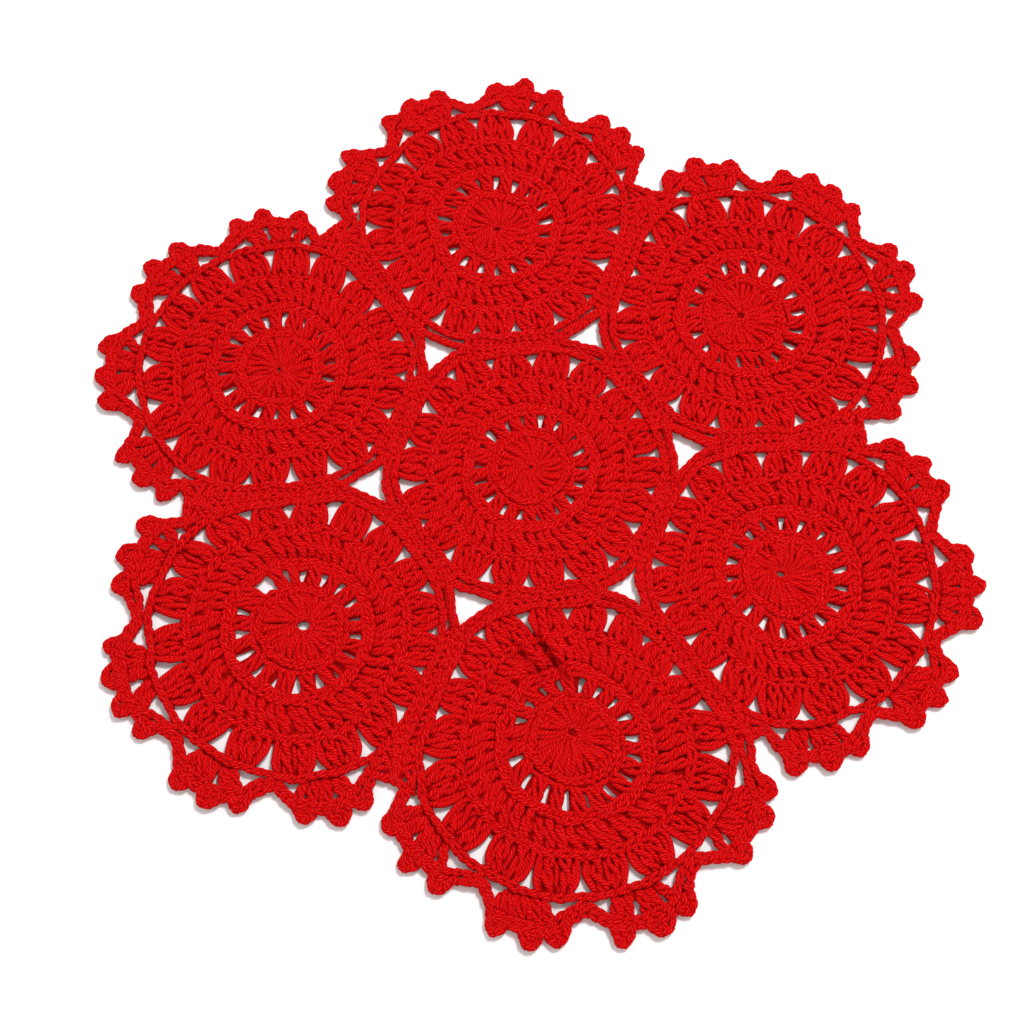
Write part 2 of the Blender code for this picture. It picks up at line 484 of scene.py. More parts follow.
def disc_strands(eye):
    """The tight middle: the eye's ring, and eighteen stitches of two thick strands from it."""
    ring = arc(eye + EYE_RING, 0.0, 360.0 + EYE_OVERLAP, EYE_STEP)
    made = chain("eye", flat(ring), core=False)
    for cell in range(CELLS):
        degrees = (cell + 0.5) * CELL_SPAN + nudge(DISC_WAVER)
        start = (eye + DISC_STITCH_START, degrees + DISC_STITCH_TWIST)
        made += stitch("disc", flat([start] + meander(DISC_ROUTE, degrees)))
        for side in (0.0, CELL_SPAN / 2):
            route = ((eye + DISC_FILLER_START, degrees + side), (DISC_EDGE, degrees + side))
            made += ridge("disc_filler", flat(route))
    return made + chain("disc_row", uneven_round(DISC_ROW))


SPOKE_ROUTE = ((12.5, -1.5, 0.0, 0.0), (15.6, 0.0, 0.0, 0.7), (21.3, 1.6, 0.2, 0.9))
SPOKE_WAVER = 1.0
SPOKE_WIDTHS = (0.88, 1.12)
SLIPPED = 8.0  # how far the stitch past the wide gap has slipped, in degrees
# A strand that crosses a gap slantwise, and the share of the gaps that have one.
CROSSING_ROUTE = ((13.2, -4.0, 0.0, 0.0), (15.6, 0.0, 0.4, 1.0), (19.4, 3.0, 0.0, 0.0))
CROSSED_SHARE = 0.2


def spoke_strands(wide_gap):
    """Open stitches with a small gap after each. Where one has slipped aside, its gap is wide."""
    made = ridge("spoke_foot", uneven_round(SPOKE_FOOT))
    made += ridge("spoke_neck", uneven_round(SPOKE_NECK))
    for cell in range(CELLS):
        degrees = cell * CELL_SPAN + nudge(SPOKE_WAVER)
        past_gap = degrees - wide_gap
        if 0.0 < past_gap < CELL_SPAN / 2:
            degrees += SLIPPED
        width = random.uniform(*SPOKE_WIDTHS)
        made += stitch("spoke", flat(meander(SPOKE_ROUTE, degrees)), width)
        if random.random() < CROSSED_SHARE and abs(past_gap) > CELL_SPAN:
            route = meander(CROSSING_ROUTE, degrees + CELL_SPAN / 2)
            made += ridge("crossing", flat(route))
    return made + chain("first_row", uneven_round(FIRST_ROW))


#   radius, share of the stitch's lean, the radius's waver
PILLAR_ROUTE = ((22.2, -1.0, 0.35), (25.1, -0.45, 0.0), (28.0, 0.45, 0.0), (31.1, 1.0, 0.30))
PILLAR_LEAN = 3.4
PILLAR_LEAN_WAVER = 0.6
PILLAR_WAVER = 0.5


def pillar_strands():
    """The dense round: three tall stitches worked into each gap, all leaning the same way."""
    made = []
    for pillar in range(PILLARS):
        degrees = (pillar + 0.5) * PILLAR_SPAN + nudge(PILLAR_WAVER)
        lean = PILLAR_LEAN + nudge(PILLAR_LEAN_WAVER)
        route = [(radius + nudge(waver), degrees + share * lean)
                 for radius, share, waver in PILLAR_ROUTE]
        made += stitch("pillar", flat(route))
        groove = [(radius, turn + PILLAR_SPAN / 2) for radius, turn in route[1:-1]]
        made += ridge("groove", flat(groove))
    return made + chain("second_row", uneven_round(SECOND_ROW))


# A petal's strands spread from its foot and close at its top: radius, and how far apart two
# neighbours are there, in degrees.
PETAL_SPREAD = ((33.6, 3.4), (35.5, 3.45), (37.4, 3.2), (39.1, 2.8), (40.4, 2.3), (41.6, 1.7))
PETAL_WAVER = 0.4
PETAL_WIDTHS = (0.95, 1.05)
#   degrees from the petal's middle to the strand's foot, its place among its neighbours, waver
PETAL_EDGE = (7.6, 2.5, 0.12)
PETAL_PAIR = (3.4, 1.05, 0.25)
PETAL_FILLERS = (-2, -1, 0, 1, 2)
RING_OVERLAP = 0.8


def petal_route(middle, width, side, foot, place, waver):
    """The flat points of a strand on one side of a petal."""
    route = [(PETAL_FOOT, middle + side * foot)]
    route += [(radius, middle + side * place * spread * width + nudge(waver))
              for radius, spread in PETAL_SPREAD]
    return flat(route)


def petal_strands():
    """Eighteen petals, each of three tall stitches that close at the top."""
    made = []
    for cell in range(CELLS):
        middle = (cell + 0.5) * CELL_SPAN + nudge(PETAL_WAVER)
        width = random.uniform(*PETAL_WIDTHS)
        for side in (-1, 1):
            made += ridge("petal_edge", petal_route(middle, width, side, *PETAL_EDGE))
            made += stitch("petal", petal_route(middle, width, side, *PETAL_PAIR))
        for place in PETAL_FILLERS:
            rows = PETAL_SPREAD[place % 2:-1]
            route = [(radius, middle + place * spread) for radius, spread in rows]
            made += ridge("petal_filler", flat(route))
    return made + chain("ring", flat(arc(RING, 0.0, 360.0 + RING_OVERLAP)))


# The cords of one shell, from valley to valley, as (share of its span, radius): the outer one
# is its edge, and the inner one tops its fan of stitches.
OUTER_CORD = (
    (0.00, 45.5), (0.06, 46.4), (0.12, 48.1), (0.18, 50.0), (0.24, 51.2), (0.32, 51.7),
    (0.45, 51.9), (0.58, 51.7), (0.70, 51.1), (0.78, 50.0), (0.85, 48.4), (0.92, 46.7),
    (1.00, 45.5),
)
INNER_CORD = (
    (0.01, 43.6), (0.05, 44.7), (0.10, 45.7), (0.15, 47.2), (0.20, 48.7), (0.30, 49.8),
    (0.45, 50.1), (0.60, 49.8), (0.70, 48.8), (0.79, 46.7), (0.88, 45.1), (0.95, 44.3),
    (0.99, 43.6),
)

# The fan's stitches, and the strands in the slits between them.
#   share at the foot, share at the head
FAN_STITCHES = ((0.290, 0.19), (0.370, 0.33), (0.450, 0.47), (0.530, 0.61), (0.610, 0.74))
FAN_FOOT = 43.2
FAN_HEAD = 49.9
FAN_HEAD_WAVER = 0.2
FAN_SHARE_WAVER = 0.008
FAN_FILLED = 0.7  # the share of the slits that are filled
FAN_FILLER_FOOT = 43.6
FAN_FILLER_HEAD = 49.3
FAN_FILLER_WAVER = 0.01

#   share of the shell's span, radius of the tip
PICOTS = ((0.27, 55.7), (0.54, 56.5), (0.77, 54.5))
WIDE_PICOTS = ((0.22, 54.9), (0.41, 56.2), (0.62, 55.8), (0.82, 53.9))
WIDE_SHELL = 44.0  # a shell wider than this, in degrees, has the four picots
PICOT_SHARE_WAVER = 0.01
PICOT_HALF = 2.75
PICOT_HALF_WAVER = 0.12
PICOT_TIP_WAVER = 0.35
PICOT_LEAN_WAVER = 0.4
# A picot's loop and the two strands in it. A foot is a share of the half width and a depth
# inside the edge cord, and a core's top is a share of the lean and a depth below the tip.
PICOT_FOOT = (1.1, 0.9)
PICOT_SHOULDER = 0.72
PICOT_TOP = 1.1
PICOT_CORE_FOOT = (0.38, 0.5)
PICOT_CORE_TOP = (0.8, 1.6)


def picot_strands(tip, degrees, cord_radius):
    """A knob on the edge: a short chain that turns back to where it started. cord_radius gives
    the radius of the edge cord at a direction."""
    tip += nudge(PICOT_TIP_WAVER)
    half = PICOT_HALF + nudge(PICOT_HALF_WAVER)
    lean = nudge(PICOT_LEAN_WAVER)

    def foot(share, depth):
        place = degrees + share * half
        return cord_radius(place) - depth, place

    def shoulder(share):
        place = degrees + share * half
        return (cord_radius(place) + tip) / 2, place

    share, depth = PICOT_FOOT
    top = (tip - PICOT_TOP, degrees + lean)
    loop = [foot(-share, depth), shoulder(-PICOT_SHOULDER), top, shoulder(PICOT_SHOULDER),
            foot(share, depth)]
    made = chain("picot", flat(loop))
    share, depth = PICOT_CORE_FOOT
    top = (tip - PICOT_CORE_TOP[1], degrees + PICOT_CORE_TOP[0] * lean)
    for side in (-1, 1):
        made += ridge("picot_core", flat((foot(side * share, depth), top)))
    return made


def shell_route(rows, first, last):
    """A route between two valleys, from rows of the share of their span and the radius."""
    return [(radius, first + share * (last - first)) for share, radius in rows]


def shell_strands(first, last, nodes):
    """One shell between two valleys: a fan of stitches under a cord, and picots on the edge."""
    def spot(share, radius):
        return radius, first + share * (last - first)

    def cord_radius(degrees):
        return np.interp((degrees - first) / (last - first), *zip(*OUTER_CORD))

    inner = [point for point in shell_route(INNER_CORD, first, last)
             if nodes[0][1] < point[1] < nodes[1][1]]
    made = chain("shell", flat(inner))
    for foot, head in FAN_STITCHES:
        foot = spot(foot, FAN_FOOT)
        head = spot(head + nudge(FAN_SHARE_WAVER), FAN_HEAD + nudge(FAN_HEAD_WAVER))
        halfway = ((foot[0] + head[0]) / 2, (foot[1] + head[1]) / 2)
        made += stitch("fan", flat((foot, halfway, head)))
    for (foot, head), (next_foot, next_head) in zip(FAN_STITCHES, FAN_STITCHES[1:]):
        if random.random() < FAN_FILLED:
            foot = spot((foot + next_foot) / 2, FAN_FILLER_FOOT)
            head = spot((head + next_head) / 2 + nudge(FAN_FILLER_WAVER), FAN_FILLER_HEAD)
            made += ridge("fan_filler", flat((foot, head)))
    for share, tip in WIDE_PICOTS if last - first > WIDE_SHELL else PICOTS:
        middle = first + (share + nudge(PICOT_SHARE_WAVER)) * (last - first)
        made += picot_strands(tip, middle, cord_radius)
    return made


# The edge cords meet this far inside a notch's bottom. Their bends keep some degrees from
# there, and their tails run on for some degrees, a little outside the last round.
NOTCH_CORD_IN = 1.3
CORD_CLEARANCE = 2.5
TAIL_OUTSIDE = 0.5
TAIL_LENGTH = 8.0
# Strands behind the edge cord next to a notch: how far in from the cord's end they start, and
# where they start and end, in degrees from it. Their second point is further in and further on.
NOTCH_FILLERS = ((1.5, 0.5, 7.5), (3.1, -1.0, 6.0), (4.6, -2.5, 3.5))
NOTCH_FILLER_BEND = (0.6, 2.5)
NOTCH_FILLER_END = 1.7  # outside the last round


def notch_place(one, other):
    """Where the edge cords of two neighbouring outer motifs meet."""
    halfway = (one.middle + other.middle) / 2
    return halfway + normalised(halfway) * (NOTCH_REACH - NOTCH_CORD_IN)


def notch_filler_strands(radius, degrees, side):
    """The strands next to a notch, on one side of the motif."""
    made = []
    inwards, onwards = NOTCH_FILLER_BEND
    for back, start, end in NOTCH_FILLERS:
        route = ((radius - back, degrees + side * start),
                 (radius - back - inwards, degrees + side * (start + onwards)),
                 (RING + NOTCH_FILLER_END, degrees + side * end))
        made += ridge("notch_filler", flat(route))
    return made


def edge_strands(motif, notches):
    """The cord along the free side of an outer motif, from notch to notch, and its shells."""
    nodes = [motif.unlay(notch) for notch in notches]
    edge = []
    made = []
    for first, last in zip(motif.valleys, motif.valleys[1:]):
        edge += shell_route(OUTER_CORD[:-1], first, last)
        made += shell_strands(first, last, nodes)
    (_, low), (_, high) = nodes
    edge = [point for point in edge if low + CORD_CLEARANCE < point[1] < high - CORD_CLEARANCE]
    for (radius, degrees), side in zip(nodes, (1.0, -1.0)):
        made += notch_filler_strands(radius, degrees, side)
    tail_radius = RING + TAIL_OUTSIDE
    edge = [(tail_radius, low - TAIL_LENGTH), nodes[0], *edge, nodes[1],
            (tail_radius, high + TAIL_LENGTH)]
    return made + chain("edge", flat(edge))


def motif_strands(motif, notches):
    """Every strand of one motif, in place."""
    made = disc_strands(abs(motif.eye)) + spoke_strands(motif.wide_gap)
    made += pillar_strands() + petal_strands()
    turn = math.radians(motif.petal_turn)
    turned = np.eye(4)
    turned[:2, :2] = ((math.cos(turn), math.sin(turn)), (-math.sin(turn), math.cos(turn)))
    made = [strand @ turned for strand in made]
    if motif.valleys:
        made += edge_strands(motif, notches)
    return [settle(motif.lay(strand)) for strand in made]


# How far the ropes round the gaps and along the joins are short of where the motifs part.
GAP_ROPE_SHORT = 2.3
JOIN_SHORT = 1.0
GAP_SIDE_SHARES = (0.0, 0.25, 0.5, 0.75)


def gap_corner(first, second, inside):
    """The corner of a gap's rope near where two motifs part."""
    halfway = (first + second) / 2
    across = normalised(left_of(second - first))
    if across @ (inside - halfway) < 0:
        across = -across
    return halfway + across * (JOIN_REACH_IN - GAP_ROPE_SHORT)


def gap_loops(motifs):
    """The flat rope round each three-sided gap, just outside the gap itself."""
    centre, *outer = motifs
    loops = []
    for motif, following in neighbours(outer):
        middles = [centre.middle, motif.middle, following.middle]
        inside = sum(middles) / 3
        corners = [gap_corner(*pair, inside) for pair in neighbours(middles)]
        loop = []
        for start, end in neighbours(corners):
            inwards = normalised(inside - (start + end) / 2)
            for share in GAP_SIDE_SHARES:
                bulge = GAP_SIDE_BULGE * 4 * share * (1 - share)
                loop.append(start + (end - start) * share + inwards * bulge)
        loops.append(np.array(loop + loop[:2]))
    return loops


def join_lines(motifs, notches):
    """Each join as its two motifs and the line between them, from one end to the other. Those
    between outer motifs run out to the notch."""
    centre, *outer = motifs
    joins = []
    for (motif, following), notch in zip(neighbours(outer), notches):
        for first, second in ((centre, motif), (motif, following)):
            halfway = (first.middle + second.middle) / 2
            across = normalised(left_of(second.middle - first.middle))
            reach = JOIN_REACH_IN - JOIN_SHORT
            start, end = halfway - across * reach, halfway + across * reach
            if first is not centre:
                start, end = min(start, end, key=np.linalg.norm), notch
            line = np.array((start, start * 0.7 + end * 0.3, start * 0.3 + end * 0.7, end))
            joins.append((first, second, line))
    return joins


BRIDGE_START = 1.0
BRIDGE_SPACING = 2.3
BRIDGE_OVERLAP = 0.2
SHORTEST_BRIDGE = 1.0
JOIN_WAVER = 0.3
#   the strands beside a join's rope: how far to its left, height, the yarn's thickness
JOIN_FILLERS = ((-1.9, 0.85, 1.35), (1.9, 0.85, 1.35))
JOIN_FILLER_WAVER = 0.2
JOIN_FILLER_POINTS = 12
JOIN_FILLER_INSET = 0.5
#   the strands behind a gap's rope: size against the rope's, height, the yarn's thickness
GAP_FILLERS = ((1.15, 0.95, 1.3), (1.28, 0.85, 1.3))
GAP_FILLER_POINTS = 36
# The strands that cross at a notch: their turns, in radians, how far in, and half their length.
KNOT_TURNS = (-0.8, 0.0, 0.8)
KNOT_IN = 0.5
KNOT_HALF = 1.9


def bridge_strands(motif, line):
    """Short stitches from a motif's last round to the line along its join."""
    made = []
    rope = Line(line)
    for along in np.arange(BRIDGE_START, rope.length, BRIDGE_SPACING):
        place = rope.at(np.array([along]), 0.0, 0.0)[0, :2]
        reach, degrees = motif.towards(place)
        start = float(motif.ring_radius(degrees)) - BRIDGE_OVERLAP
        if reach - start > SHORTEST_BRIDGE:
            begin = motif.middle + (place - motif.middle) * (start / reach)
            made += ridge("bridge", (begin, place))
    return made


def gap_strands(loop):
    """The rope round a gap and the strands behind it."""
    made = chain("gap", loop)
    middle = loop.mean(axis=0)
    for size, height, thick in GAP_FILLERS:
        wider = Line(middle + (loop - middle) * size)
        along = np.linspace(0.0, wider.length, GAP_FILLER_POINTS)
        made.append(wider.at(along, 0.0, height, thick))
    return made


def knot_strands(notch):
    """The strands that cross at the bottom of a notch."""
    made = []
    outwards = normalised(notch)
    knot = notch - outwards * KNOT_IN
    for turn in KNOT_TURNS:
        reach = (math.sin(turn) * outwards + math.cos(turn) * left_of(outwards)) * KNOT_HALF
        made += ridge("knot", (knot - reach, knot, knot + reach))
    return made


def join_strands(motifs, notches):
    """The ropes that hold the motifs together."""
    made = []
    for first, second, line in join_lines(motifs, notches):
        made += chain("join", line + random.normal(0.0, JOIN_WAVER, line.shape))
        rope = Line(line)
        along = np.linspace(JOIN_FILLER_INSET, rope.length - JOIN_FILLER_INSET,
                            JOIN_FILLER_POINTS)
        for side, height, thick in JOIN_FILLERS:
            across = side + random.normal(0.0, JOIN_FILLER_WAVER, JOIN_FILLER_POINTS)
            made.append(rope.at(along, across, height, thick))
        for motif in (first, second):
            made += bridge_strands(motif, line)
    for loop in gap_loops(motifs):
        made += gap_strands(loop)
    for notch in notches:
        made += knot_strands(notch)
    return [settle(strand) for strand in made]


def tube_frames(lines, counts):
    """Directions across each strand, carried along it without twisting."""
    tangents = np.zeros_like(lines)
    tangents[:, 1:-1] = lines[:, 2:] - lines[:, :-2]
    tangents[:, 0] = lines[:, 1] - lines[:, 0]
    rows = np.arange(len(lines))
    tangents[rows, counts - 1] = lines[rows, counts - 1] - lines[rows, counts - 2]
    tangents = normalised(tangents)
    across = np.zeros_like(lines)
    up = np.broadcast_to((0.0, 0.0, 1.0), (len(lines), 3))
    current = normalised(np.cross(up, tangents[:, 0]) + np.array((1e-4, 0.0, 0.0)))
    for step in range(lines.shape[1]):
        tangent = tangents[:, step]
        current = normalised(current - (current * tangent).sum(1)[:, None] * tangent)
        across[:, step] = current
    return across, np.cross(tangents, across)


def stacked(strands):
    """The strands as one array, the short ones padded with their last point, and how many
    real points each has."""
    counts = np.array([len(strand) for strand in strands])
    padded = [np.vstack((strand, np.repeat(strand[-1:], counts.max() - len(strand), axis=0)))
              for strand in strands]
    return np.stack(padded), counts


def tube_mesh(name, strands):
    """One mesh of round yarn along every strand, with (millimetres along, turns round) as UV."""
    points, counts = stacked(strands)
    lines, thickness = points[:, :, :3], points[:, :, 3]
    across, upright = tube_frames(lines, counts)
    steps = np.linalg.norm(np.diff(lines, axis=1), axis=2)
    travel = np.concatenate((np.zeros((len(lines), 1)), steps.cumsum(1)), axis=1)
    travel += random.uniform(0.0, TEXTURE_SHIFT, (len(lines), 1))
    radius = YARN_RADIUS * random.uniform(*YARN_RADII, (len(lines), 1)) * thickness
    lines[:, :, 2] = np.maximum(lines[:, :, 2], radius + FLOOR_CLEARANCE)
    rows = np.arange(len(lines))
    radius[:, 0] *= TIP_SHRINK
    radius[rows, counts - 1] *= TIP_SHRINK
    turns = np.arange(YARN_SIDES) * 2 * math.pi / YARN_SIDES
    rings = (np.cos(turns)[:, None] * across[:, :, None]
             + np.sin(turns)[:, None] * upright[:, :, None])
    rings = lines[:, :, None] + radius[:, :, None, None] * rings
    real = np.arange(lines.shape[1]) < counts[:, None]
    ring_number = np.full(real.shape, -1)
    ring_number[real] = np.arange(np.count_nonzero(real))
    ends = np.stack((ring_number[:, 0], ring_number[rows, counts - 1]))
    later = real[:, 1:]
    links = np.stack((ring_number[:, :-1][later], ring_number[:, 1:][later]))
    stretches = np.stack((travel[:, :-1][later], travel[:, 1:][later]))
    return mesh_of_rings(name, rings[real].reshape(-1, 3), links, stretches, ends)


def mesh_of_rings(name, verts, links, stretches, ends):
    """A mesh of rings of yarn: links are the pairs of rings to be joined, stretches how far
    along their strand those are, and ends the rings to be capped."""
    side = np.arange(YARN_SIDES)
    after = (side + 1) % YARN_SIDES
    here, there = links[:, :, None] * YARN_SIDES
    quads = np.stack((here + side, there + side, there + after, here + after), axis=2)
    first, last = ends[:, :, None] * YARN_SIDES
    caps = np.concatenate((first + side, last + side[::-1]))
    begin, finish = stretches
    u = np.stack((begin, finish, finish, begin), axis=1)[:, None, :].repeat(YARN_SIDES, axis=1)
    v = np.stack((side, side, side + 1, side + 1), axis=1)[None] / YARN_SIDES
    uv = np.stack((u, np.broadcast_to(v, u.shape)), axis=3)
    mesh = bpy.data.meshes.new(name)
    faces = quads.reshape(-1, 4).tolist() + caps.tolist()
    mesh.from_pydata((verts * MM).tolist(), [], faces)
    layer = mesh.uv_layers.new(name="yarn")
    layer.data.foreach_set("uv", np.concatenate((uv.ravel(), np.zeros(2 * caps.size))))
    mesh.validate()
    mesh.shade_smooth()
    return mesh


def new_object(name, data):
    """A new object in the scene."""
    made = bpy.data.objects.new(name, data)
    bpy.context.scene.collection.objects.link(made)
    return made


def add_piece(name, mesh, material):
    """A new piece of the doily, riding on its one body."""
    mesh.materials.append(material)
    piece = new_object(name, mesh)
    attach(piece, "root")
    return piece


# The ground, as rows from the middle out: radius, half the petal gap and half the spoke gap,
# in degrees. Where a half gap isn't 0, the ground is open from the row before to the row after.
GROUND_ROWS = (
    (0.2, 0, 0), (6.0, 0, 0), (12.5, 0, 0), (13.9, 0, 0), (14.6, 0, 1.5), (16.3, 0, 2.5),
    (18.0, 0, 3.3), (19.0, 0, 0), (25.5, 0, 0), (30.5, 0, 0), (33.9, 0, 0), (35.2, 1.4, 0),
    (37.1, 2.3, 0), (39.0, 3.5, 0), (40.4, 4.7, 0), (41.4, 0, 0), (43.0, 0, 0),
)
DEFAULT_PETAL_GAP = 2.0
DEFAULT_SPOKE_GAP = 2.5
# The columns of the ground in each cell, and those that are open at a gap.
GROUND_COLUMNS = 8
PETAL_GAP_COLUMNS = (0, 7)
SPOKE_GAP_COLUMNS = (3, 4)
# The strips that close the ground under the joins, the gaps' ropes, and the shells: half their
# width, and their height above the rest of the ground.
STRIP_STEP = 2.0
JOIN_STRIP = (2.8, 0.05)
GAP_STRIP = (0.7, 0.1)
RIM_STRIP = (1.5, 0.2)
FOOT_STRIP = (1.4, 0.2)
# A shell's strips: the rim lies a little outside the middle of its inner cord.
RIM_OUTSIDE = 0.8
RIM_LINE = [(share, radius + RIM_OUTSIDE) for share, radius in INNER_CORD[3:10]]
FOOT_LINE = ((0.27, 44.2), (0.43, 44.2), (0.60, 44.2))


def ground_points(motif):
    """The points of one motif's ground, row by row, in place."""
    points = []
    half = CELL_SPAN / 2
    for number, (radius, petal_gap, spoke_gap) in enumerate(GROUND_ROWS):
        # a negative eye leaves the middle closed, so the ground shows a pit in painted shade
        radius += max(motif.eye, 0.0) if number == 0 else 0.0
        petal = petal_gap or DEFAULT_PETAL_GAP
        spoke = half - (spoke_gap or DEFAULT_SPOKE_GAP)
        between = (petal + spoke) / 2
        offsets = (0.0, petal, between, spoke, half, CELL_SPAN - spoke, CELL_SPAN - between,
                   CELL_SPAN - petal)
        for cell in range(CELLS):
            for offset in offsets:
                angle = math.radians(cell * CELL_SPAN + offset + motif.petal_turn)
                x, y = radius * math.cos(angle), radius * math.sin(angle)
                points.append((x, y, GROUND_HEIGHT, 1.0))
    return motif.lay(np.array(points))


def ground_quads(wide_gap):
    """The quads of one motif's ground, which leave its gaps open."""
    quads = []
    across_row = GROUND_COLUMNS * CELLS
    for row, (inner, outer) in enumerate(zip(GROUND_ROWS, GROUND_ROWS[1:])):
        petal_open = inner[1] > 0 or outer[1] > 0
        spoke_open = inner[2] > 0 or outer[2] > 0
        for here in range(across_row):
            column = here % GROUND_COLUMNS
            past_gap = abs(here * 360.0 / across_row - wide_gap)
            if petal_open and column in PETAL_GAP_COLUMNS:
                continue
            if spoke_open and (column in SPOKE_GAP_COLUMNS or past_gap < WIDE_GAP_HALF):
                continue
            after = (here + 1) % across_row
            low, high = row * across_row, (row + 1) * across_row
            quads.append((low + here, high + here, high + after, low + after))
    return quads


def strip_patch(points, half_width, lift):
    """A narrow band along flat points, as (points, quads)."""
    line = Line(points)
    along = np.linspace(0.0, line.length, max(2, round(line.length / STRIP_STEP)))
    sides = [line.at(along, across, GROUND_HEIGHT + lift) for across in (half_width, -half_width)]
    count = len(along)
    quads = [(k, k + 1, count + k + 1, count + k) for k in range(count - 1)]
    return np.vstack(sides), quads


def shell_patches(motif):
    """The strips under the shells of an outer motif."""
    patches = []
    for first, last in zip(motif.valleys, motif.valleys[1:]):
        for rows, strip in ((RIM_LINE, RIM_STRIP), (FOOT_LINE, FOOT_STRIP)):
            points, quads = strip_patch(flat(shell_route(rows, first, last)), *strip)
            patches.append((motif.lay(points), quads))
    return patches


def ground_mesh(motifs, notches):
    """The thin ground of the whole doily."""
    patches = [(ground_points(motif), ground_quads(motif.wide_gap)) for motif in motifs]
    patches += [strip_patch(line, *JOIN_STRIP) for _, _, line in join_lines(motifs, notches)]
    patches += [strip_patch(loop, *GAP_STRIP) for loop in gap_loops(motifs)]
    for motif in motifs[1:]:
        patches += shell_patches(motif)
    points, quads, count = [], [], 0
    for patch_points, patch_quads in patches:
        points.append(settle(patch_points))
        quads += [tuple(count + index for index in quad) for quad in patch_quads]
        count += len(patch_points)
    mesh = bpy.data.meshes.new("ground")
    mesh.from_pydata((np.vstack(points)[:, :3] * MM).tolist(), [], quads)
    mesh.validate()
    mesh.update()
    return mesh


def thickened(mesh, thickness):
    """The mesh as a thin closed sheet."""
    holder = new_object("holder", mesh)
    solidify = holder.modifiers.new("thickness", "SOLIDIFY")
    solidify.thickness = thickness
    solidify.offset = 0.0
    bpy.context.view_layer.update()
    graph = bpy.context.evaluated_depsgraph_get()
    made = bpy.data.meshes.new_from_object(holder.evaluated_get(graph))
    bpy.data.objects.remove(holder)
    return made


class Nodes:
    """Short ways to build one material's node tree."""

    def __init__(self, name, shader_values):
        self.material = bpy.data.materials.new(name)
        self.material.use_nodes = True
        self.tree = self.material.node_tree
        self.shader = self.tree.nodes["Principled BSDF"]
        for socket, value in shader_values.items():
            self.shader.inputs[socket].default_value = value

    def put(self, socket, value):
        """Links a socket into another, or sets its number."""
        if isinstance(value, bpy.types.NodeSocket):
            self.tree.links.new(value, socket)
        else:
            socket.default_value = value

    def math(self, operation, *values):
        """A Math node's result."""
        node = self.tree.nodes.new("ShaderNodeMath")
        node.operation = operation
        for socket, value in zip(node.inputs, values):
            self.put(socket, value)
        return node.outputs[0]

    def noise(self, scale, detail, vector=None):
        """A noise's value, over the object unless another vector is given."""
        node = self.tree.nodes.new("ShaderNodeTexNoise")
        node.inputs["Scale"].default_value = scale
        node.inputs["Detail"].default_value = detail
        if vector is None:
            vector = self.tree.nodes.new("ShaderNodeTexCoord").outputs["Object"]
        self.put(node.inputs["Vector"], vector)
        return node.outputs["Fac"]

    def mix(self, share, first, second):
        """A mix of two colours."""
        node = self.tree.nodes.new("ShaderNodeMix")
        node.data_type = "RGBA"
        self.put(node.inputs["Factor"], share)
        self.put(node.inputs["A"], first)
        self.put(node.inputs["B"], second)
        return node.outputs["Result"]

    def bump(self, height, distance):
        """The shader's normal, bumped."""
        node = self.tree.nodes.new("ShaderNodeBump")
        node.inputs["Distance"].default_value = distance
        self.put(node.inputs["Height"], height)
        self.put(self.shader.inputs["Normal"], node.outputs["Normal"])


# The yarn's looks. Its plies are painted: painted shade, deep red, at their edges where they
# dip into the grooves, and painted light, bright red, on top, with painted highlights as
# lighter streaks where fibres catch the light.
SHADED_PLY_RED = (0.43, 0.0001, 0.0003, 1.0)
LIT_PLY_RED = (0.51, 0.0003, 0.0010, 1.0)
FIBRE_HIGHLIGHT_RED = (0.69, 0.0210, 0.0230, 1.0)
YARN_SHADER = {
    "Roughness": 0.6,
    "Specular IOR Level": 0.01,
    "Subsurface Weight": 0.3,
    "Subsurface Radius": (1.0, 0.05, 0.05),
    "Subsurface Scale": 0.8 * MM,
    "Sheen Weight": 0.02,
    "Sheen Roughness": 0.4,
    "Sheen Tint": (1.0, 0.10, 0.10, 1.0),
}
PLIES = 4
PLIES_PER_MM = 1.0
PLY_UNEVENNESS = 1.6
PLY_SHARPNESS = 2.6
# The scale and detail of the noises: over the doily in waves a metre, and for the fibres over
# the plies, with so many waves a ply and so many a millimetre along.
UNEVEN_NOISE = (420.0, 1.0)
PATCH_NOISE = (110.0, 2.0)
FIBRE_NOISE = (1.0, 3.0)
FIBRES_PER_PLY = 2.2
FIBRES_PER_MM = 0.9
# What the fibres and the random patches add to the painted light of the plies, and how strong the
# painted highlights are.
FIBRE_BASE = 0.25
PATCH_STRENGTH = 0.35
HIGHLIGHT_SHARPNESS = 4.0
HIGHLIGHT_STRENGTH = 1.6
FIBRE_RELIEF = 0.4
YARN_BUMP = 0.06

# The ground's looks: rough and dark, painted shade for the fabric in shade behind the strands and
# in the pits.
DEEP_GROUND_SHADE_RED = (0.20, 0.0001, 0.0003, 1.0)
SHADE_RED = (0.36, 0.0001, 0.0003, 1.0)
GROUND_SHADER = {"Roughness": 0.8, "Specular IOR Level": 0.05}
GROUND_NOISE = (1300.0, 3.0)
GROUND_BUMP = 0.3


